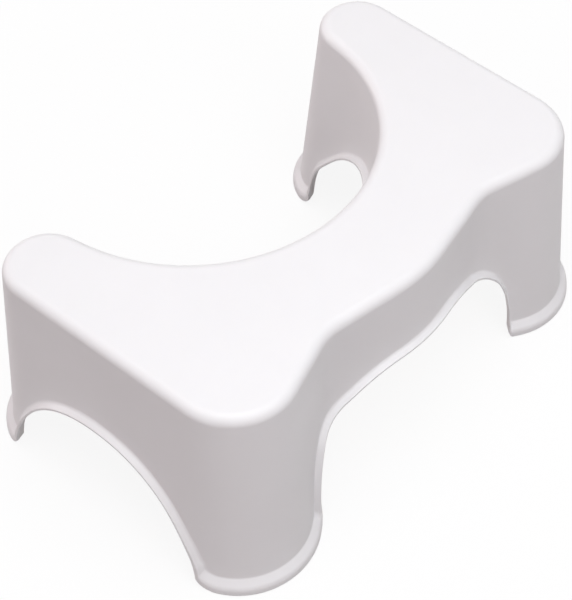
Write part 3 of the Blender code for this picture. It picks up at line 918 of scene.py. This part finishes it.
def seen_directly(tree):
    """1 for rays from the camera and for those that a glossy or clear surface sends on."""
    rays = add_node(tree, "ShaderNodeLightPath").outputs
    either = add_node(tree, "ShaderNodeMath",
                      {0: rays["Is Camera Ray"], 1: rays["Is Glossy Ray"]}, operation="MAXIMUM")
    return add_node(tree, "ShaderNodeMath",
                    {0: either.outputs[0], 1: rays["Is Transmission Ray"]},
                    operation="MAXIMUM").outputs[0]


print("the floor far off and the backdrop are seen as", WHITE)

# %% Floor
FLOOR_REACH = 6.0
FLOOR_GREY = (0.36, 0.34, 0.34, 1.0)
FLOOR_GLOW = 0.90
FADE_START, FADE_END = 0.25, 0.80

corners = [Vector((x * FLOOR_REACH, y * FLOOR_REACH, 0.0))
           for x, y in ((-1, -1), (1, -1), (1, 1), (-1, 1))]
floor = mesh_object("floor", corners, [(0, 1, 2, 3)])
paper = bpy.data.materials.new("white_paper_sweep")
paper.use_nodes = True
tree = paper.node_tree
tree.nodes.clear()
matt = add_node(tree, "ShaderNodeBsdfDiffuse", {"Color": FLOOR_GREY})
shadowed = add_node(tree, "ShaderNodeBsdfDiffuse", {"Color": (1 - FLOOR_GLOW,) * 3 + (1.0,)})
glow = add_node(tree, "ShaderNodeEmission", {"Color": WHITE, "Strength": FLOOR_GLOW})
near = add_node(tree, "ShaderNodeAddShader", {0: shadowed.outputs[0], 1: glow.outputs[0]})
far = add_node(tree, "ShaderNodeEmission", {"Color": WHITE, "Strength": 1.0})
spot = add_node(tree, "ShaderNodeTexCoord").outputs["Object"]
distance = add_node(tree, "ShaderNodeVectorMath", {0: spot}, operation="LENGTH")
fade = add_node(tree, "ShaderNodeMapRange",
                {"Value": distance.outputs["Value"], "From Min": FADE_START, "From Max": FADE_END},
                interpolation_type="SMOOTHSTEP")
white = add_node(tree, "ShaderNodeMixShader",
                 {0: fade.outputs[0], 1: near.outputs[0], 2: far.outputs[0]})
seen = add_node(tree, "ShaderNodeMixShader",
                {0: seen_directly(tree), 1: matt.outputs[0], 2: white.outputs[0]})
add_node(tree, "ShaderNodeOutputMaterial", {"Surface": seen.outputs[0]})
floor.data.materials.append(paper)
print("floor:", paper.name)

# %% World
ROOM_COLOUR = "#FFEDEE"
ROOM_LEFT, ROOM_RIGHT = 0.46, 0.16
world = bpy.data.worlds.new("soft_studio")
bpy.context.scene.world = world
world.use_nodes = True
tree = world.node_tree
tree.nodes.clear()
towards = add_node(tree, "ShaderNodeTexCoord").outputs["Generated"]
across = add_node(tree, "ShaderNodeSeparateXYZ", {"Vector": towards}).outputs["X"]
level = add_node(tree, "ShaderNodeMapRange", {"Value": across, "From Min": -1.0, "From Max": 1.0,
                                              "To Min": ROOM_LEFT, "To Max": ROOM_RIGHT})
room = add_node(tree, "ShaderNodeBackground",
                {"Color": linear(ROOM_COLOUR), "Strength": level.outputs[0]})
backdrop = add_node(tree, "ShaderNodeBackground", {"Color": WHITE, "Strength": 1.0})
mixed = add_node(tree, "ShaderNodeMixShader",
                 {0: seen_directly(tree), 1: room.outputs[0], 2: backdrop.outputs[0]})
add_node(tree, "ShaderNodeOutputWorld", {"Surface": mixed.outputs[0]})
print("room light:", ROOM_COLOUR, "from", ROOM_LEFT, "on the left to", ROOM_RIGHT, "on the right")

# %% [markdown]
# ## Lamps
#
# The deck is much brighter than the walls, and there is no hard shadow anywhere. A big soft box hangs
# over the stool, a weaker one fills the front, and a low one behind lights the wall of the recess.
# The front one is left out of reflections, or its image would run down the rounded front corners.


# %% Soft boxes
def soft_box(name, place, target, size, power, colour, shines=True):
    """Square area lamp that looks at a point."""
    lamp = bpy.data.lights.new(name, "AREA")
    lamp.shape, lamp.size, lamp.energy, lamp.color = "SQUARE", size, power, linear(colour)[:3]
    thing = bpy.data.objects.new(name, lamp)
    bpy.context.scene.collection.objects.link(thing)
    thing.location = place
    thing.rotation_euler = (Vector(target) - Vector(place)).to_track_quat("-Z", "Y").to_euler()
    thing.visible_glossy = shines
    print(name, "at", place, "with", power, "W")
    return thing


soft_box("overhead_box", place=(-0.05, -0.2, 1.95), target=(0.0, 0.0, 0.18), size=1.6,
         power=24.5, colour="#F8FDFF")
soft_box("front_box", place=(-0.55, -1.55, 1.7), target=(0.0, 0.0, 0.1), size=1.0,
         power=10.5, colour="#FCFDFF", shines=False)
soft_box("back_box", place=(-0.4, 1.9, 0.55), target=(0.0, 0.0, 0.1), size=1.0,
         power=7.0, colour="#FFF0F0")

# %% [markdown]
# ## Camera
#
# A camera was fitted to the photograph's outline: it stands about 1.15 m away, half-way up and in
# front of the left end, with a long lens. Its longer side of 600 pixels takes the 36 mm sensor.

# %% Camera
AZIMUTH, ELEVATION, ROLL = math.radians(-48.42), math.radians(50.23), math.radians(-0.14)
DISTANCE, LENS = 1.1542, 91.69
TARGET = Vector((-0.0295, -0.0112, 0.0905))

back = Vector((math.sin(AZIMUTH) * math.cos(ELEVATION),
               -math.cos(AZIMUTH) * math.cos(ELEVATION), math.sin(ELEVATION)))
lens = bpy.data.cameras.new("camera")
lens.sensor_width, lens.sensor_fit, lens.lens = 36.0, "AUTO", LENS
camera = bpy.data.objects.new("camera", lens)
bpy.context.scene.collection.objects.link(camera)
camera.matrix_world = (Matrix.Translation(TARGET + back * DISTANCE)
                       @ back.to_track_quat("Z", "Y").to_matrix().to_4x4()
                       @ Matrix.Rotation(ROLL, 4, "Z"))
bpy.context.scene.camera = camera
bpy.context.scene.view_settings.view_transform = "Standard"
print("camera at", tuple(round(v, 3) for v in camera.matrix_world.translation))
